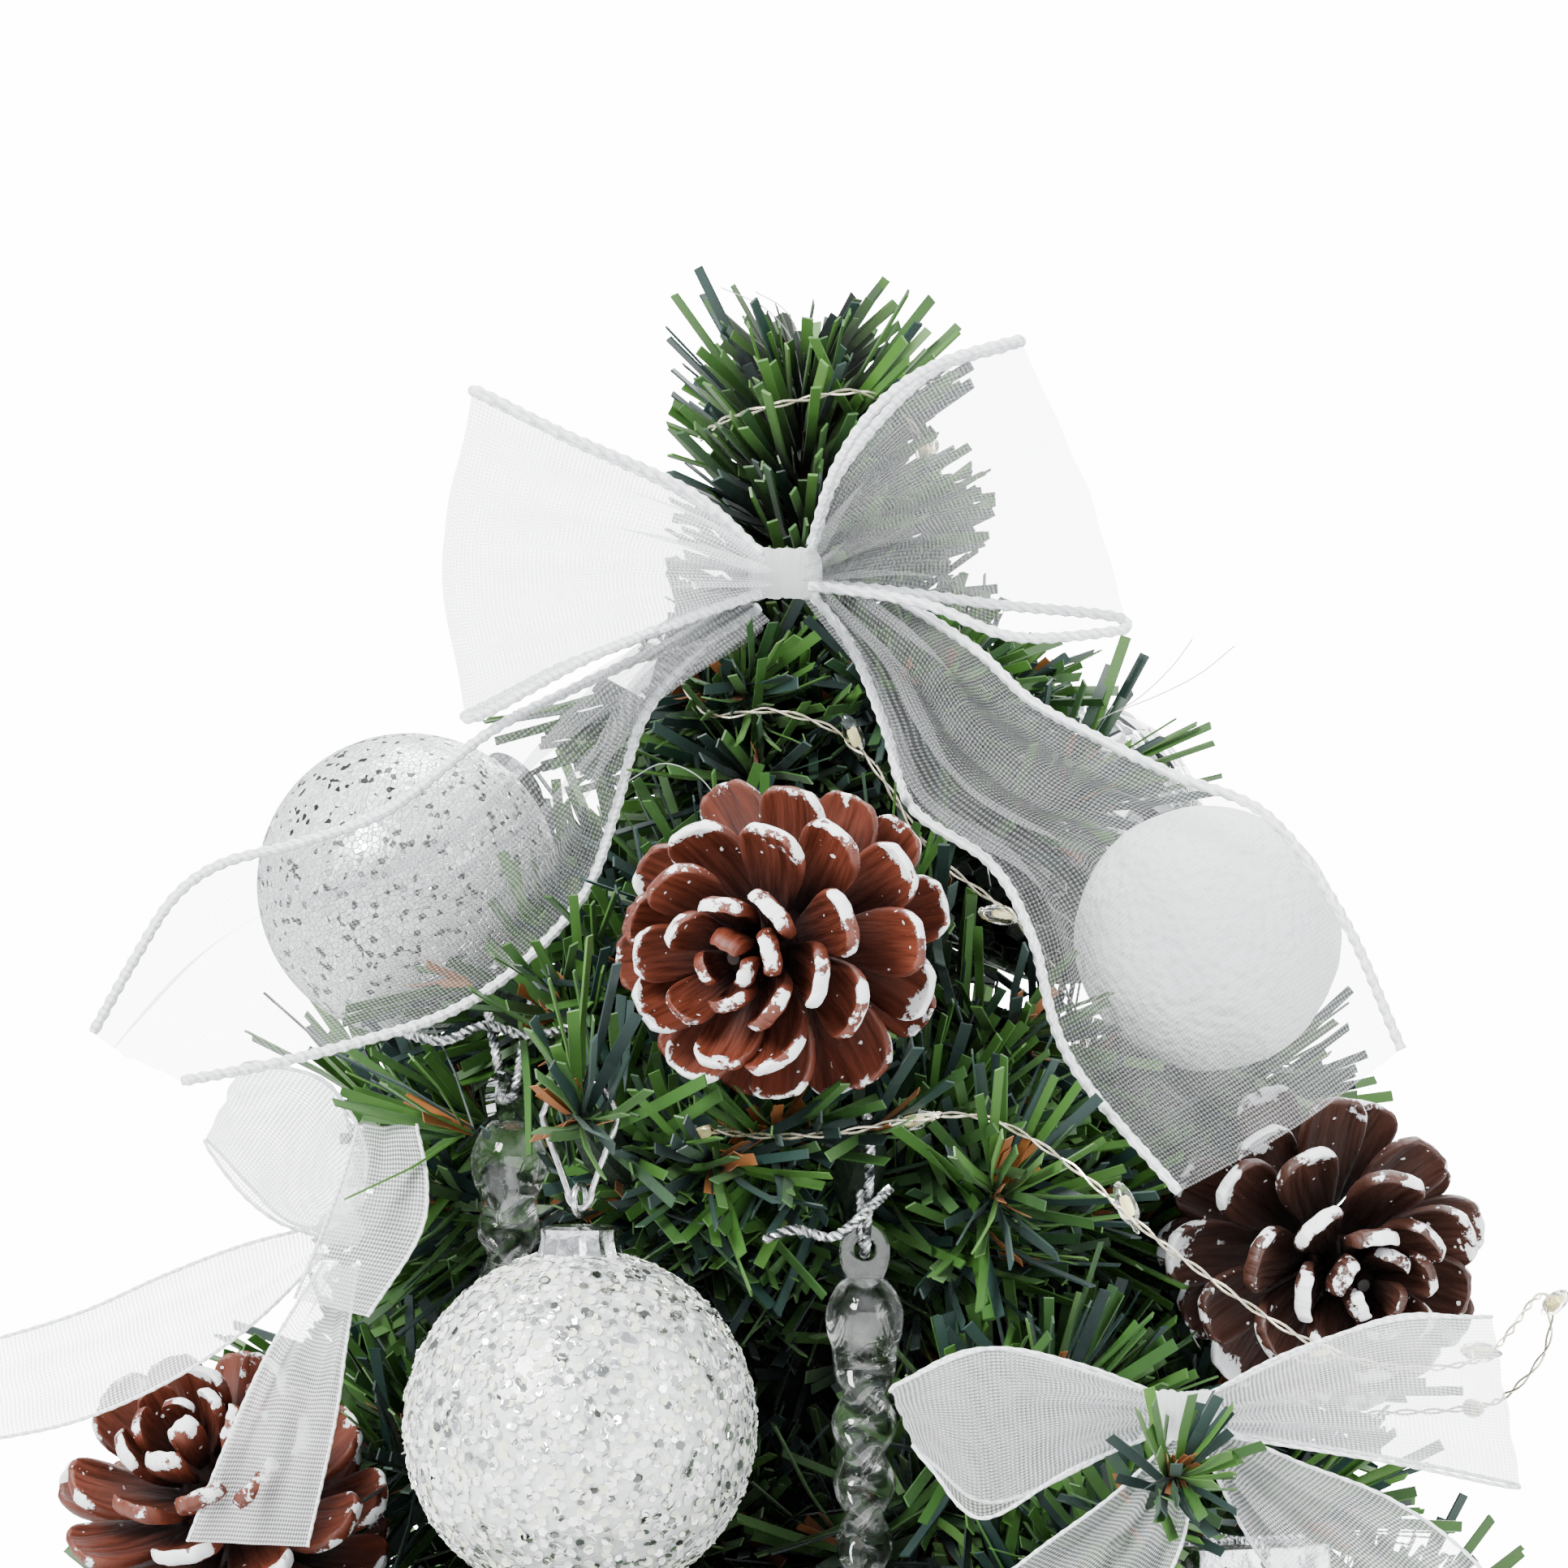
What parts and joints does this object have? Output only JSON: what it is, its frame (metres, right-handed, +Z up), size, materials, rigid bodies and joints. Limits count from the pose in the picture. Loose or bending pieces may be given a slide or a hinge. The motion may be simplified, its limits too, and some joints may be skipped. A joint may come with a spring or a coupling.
{
  "type": "artificial tabletop tree",
  "caption": "Small artificial pine tree on a weighted round base, trimmed with sheer bows, glitter balls, cones, icicles and a battery light string",
  "frame": {"origin": "centre of the base's underside, on the surface that the tree stands on", "axes": "+Z up the trunk, -Y towards the front with the big bow, +X to the right seen from the front"},
  "size_m": [0.2648, 0.2416, 0.444],
  "materials": {
    "green_pvc": "soft flat strips",
    "green_wrap": "tape wound",
    "base_plastic": "moulded, satin",
    "weight_steel": "plain",
    "felt": "felt",
    "cell_jacket": "printed sleeve, left plain",
    "switch_plastic": "moulded",
    "light_wire": "tinned and lacquered",
    "white_organza": "sheer weave with corded edge",
    "silver_glitter": "glitter on clear plastic",
    "silver_foil": "crinkled foil",
    "white_foam": "rough foam",
    "cone_wood": "dry scales with white paint",
    "clear_acrylic": "clear acrylic, polished",
    "silver_cord": "braided metallic thread"
  },
  "bodies": {
    "tree": {"ball_left": "silver_glitter", "ball_left_cap": "silver_foil", "ball_right": "silver_glitter", "ball_right_cap": "silver_foil", "base_shell": "base_plastic", "base_weight": "weight_steel", "bow_knot": "white_organza", "bow_loop_left": "white_organza", "bow_loop_right": "white_organza", "bow_tail_left": "white_organza", "bow_tail_right": "white_organza", "cell_1": "cell_jacket", "cell_2": "cell_jacket", "collar_1": "green_wrap", "collar_2": "green_wrap", "foot_pad": "felt", "gift_box": "silver_foil", "leader": "green_pvc", "light_string": "light_wire", "pine_cone_front": "cone_wood", "pine_cone_left": "cone_wood", "pine_cone_low": "cone_wood", "pine_cone_right": "cone_wood", "small_bow_left": "white_organza", "small_bow_right": "white_organza", "snowball_right": "white_foam", "tier_3": "green_pvc", "tier_4": "green_pvc", "tier_5": "green_pvc", "tier_6": "green_pvc", "tier_7": "green_pvc", "tier_8": "green_pvc", "tier_9": "green_pvc", "trunk": "green_wrap"},
    "branch_1a": {"branch_1a": "green_pvc"},
    "branch_1b": {"branch_1b": "green_pvc"},
    "branch_1c": {"branch_1c": "green_pvc"},
    "branch_1d": {"branch_1d": "green_pvc"},
    "branch_1e": {"branch_1e": "green_pvc"},
    "branch_1f": {"branch_1f": "green_pvc"},
    "branch_2a": {"branch_2a": "green_pvc"},
    "branch_2b": {"branch_2b": "green_pvc"},
    "branch_2c": {"branch_2c": "green_pvc"},
    "branch_2d": {"branch_2d": "green_pvc"},
    "branch_2e": {"branch_2e": "green_pvc"},
    "branch_2f": {"branch_2f": "green_pvc"},
    "hung_ball_front": {"ball_front": "silver_glitter", "ball_front_cap": "silver_foil", "ball_front_hook": "silver_foil"},
    "hung_ball_low": {"ball_low": "silver_glitter", "ball_low_cap": "silver_foil", "ball_low_hook": "silver_foil"},
    "hung_icicle_left": {"icicle_left": "clear_acrylic", "icicle_loop_left": "silver_cord"},
    "hung_icicle_right": {"icicle_right": "clear_acrylic", "icicle_loop_right": "silver_cord"},
    "hung_icicle_low": {"icicle_low": "clear_acrylic", "icicle_loop_low": "silver_cord"},
    "cover": {"battery_cover": "base_plastic"},
    "switch": {"switch_slider": "switch_plastic"}
  },
  "joints": [
    {"name": "branch_1a_bend", "type": "hinge", "parent": "tree", "child": "branch_1a", "pos_m": [0.00338, -0.00725, 0.10112], "axis": [-0.9063, -0.4226, 0], "range_deg": [-8, 20]},
    {"name": "branch_1b_bend", "type": "hinge", "parent": "tree", "child": "branch_1b", "pos_m": [0.00797, -0.0007, 0.10112], "axis": [-0.0872, -0.9962, 0], "range_deg": [-8, 20]},
    {"name": "branch_1c_bend", "type": "hinge", "parent": "tree", "child": "branch_1c", "pos_m": [0.00459, 0.00655, 0.10112], "axis": [0.8192, -0.5736, 0], "range_deg": [-8, 20]},
    {"name": "branch_1d_bend", "type": "hinge", "parent": "tree", "child": "branch_1d", "pos_m": [-0.00338, 0.00725, 0.10112], "axis": [0.9063, 0.4226, 0], "range_deg": [-8, 20]},
    {"name": "branch_1e_bend", "type": "hinge", "parent": "tree", "child": "branch_1e", "pos_m": [-0.00797, 0.0007, 0.10112], "axis": [0.0872, 0.9962, 0], "range_deg": [-8, 20]},
    {"name": "branch_1f_bend", "type": "hinge", "parent": "tree", "child": "branch_1f", "pos_m": [-0.00459, -0.00655, 0.10112], "axis": [-0.8192, 0.5736, 0], "range_deg": [-8, 20]},
    {"name": "branch_2a_bend", "type": "hinge", "parent": "tree", "child": "branch_2a", "pos_m": [0.00655, -0.00459, 0.1417], "axis": [-0.5736, -0.8192, 0], "range_deg": [-8, 20]},
    {"name": "branch_2b_bend", "type": "hinge", "parent": "tree", "child": "branch_2b", "pos_m": [0.00725, 0.00338, 0.1417], "axis": [0.4226, -0.9063, 0], "range_deg": [-8, 20]},
    {"name": "branch_2c_bend", "type": "hinge", "parent": "tree", "child": "branch_2c", "pos_m": [0.0007, 0.00797, 0.1417], "axis": [0.9962, -0.0872, 0], "range_deg": [-8, 20]},
    {"name": "branch_2d_bend", "type": "hinge", "parent": "tree", "child": "branch_2d", "pos_m": [-0.00655, 0.00459, 0.1417], "axis": [0.5736, 0.8192, 0], "range_deg": [-8, 20]},
    {"name": "branch_2e_bend", "type": "hinge", "parent": "tree", "child": "branch_2e", "pos_m": [-0.00725, -0.00338, 0.1417], "axis": [-0.4226, 0.9063, 0], "range_deg": [-8, 20]},
    {"name": "branch_2f_bend", "type": "hinge", "parent": "tree", "child": "branch_2f", "pos_m": [-0.0007, -0.00797, 0.1417], "axis": [-0.9962, 0.0872, 0], "range_deg": [-8, 20]},
    {"name": "hung_ball_front_swing", "type": "hinge", "parent": "tree", "child": "hung_ball_front", "pos_m": [-0.0248, -0.0585, 0.3537], "axis": [-0.3907, -0.9205, 0], "range_deg": [-8, 8]},
    {"name": "hung_ball_low_swing", "type": "hinge", "parent": "tree", "child": "hung_ball_low", "pos_m": [0.0215, -0.0804, 0.2503], "axis": [0.2588, -0.9659, 0], "range_deg": [-8, 8]},
    {"name": "hung_icicle_left_swing", "type": "hinge", "parent": "tree", "child": "hung_icicle_left", "pos_m": [-0.0337, -0.0283, 0.3663], "axis": [-0.766, -0.6428, 0], "range_deg": [-5, 5]},
    {"name": "hung_icicle_right_swing", "type": "hinge", "parent": "tree", "child": "hung_icicle_right", "pos_m": [0.0067, -0.0475, 0.3497], "axis": [0.1392, -0.9903, 0], "range_deg": [-8, 8]},
    {"name": "hung_icicle_low_swing", "type": "hinge", "parent": "tree", "child": "hung_icicle_low", "pos_m": [-0.0501, -0.0664, 0.2503], "axis": [-0.6018, -0.7986, 0], "range_deg": [-8, 8]},
    {"name": "cover_slide", "type": "slide", "parent": "tree", "child": "cover", "axis": [1, 0, 0], "range_m": [0, 0.008]},
    {"name": "switch_slide", "type": "slide", "parent": "tree", "child": "switch", "axis": [1, 0, 0], "range_m": [0, 0.005]}
  ]
}
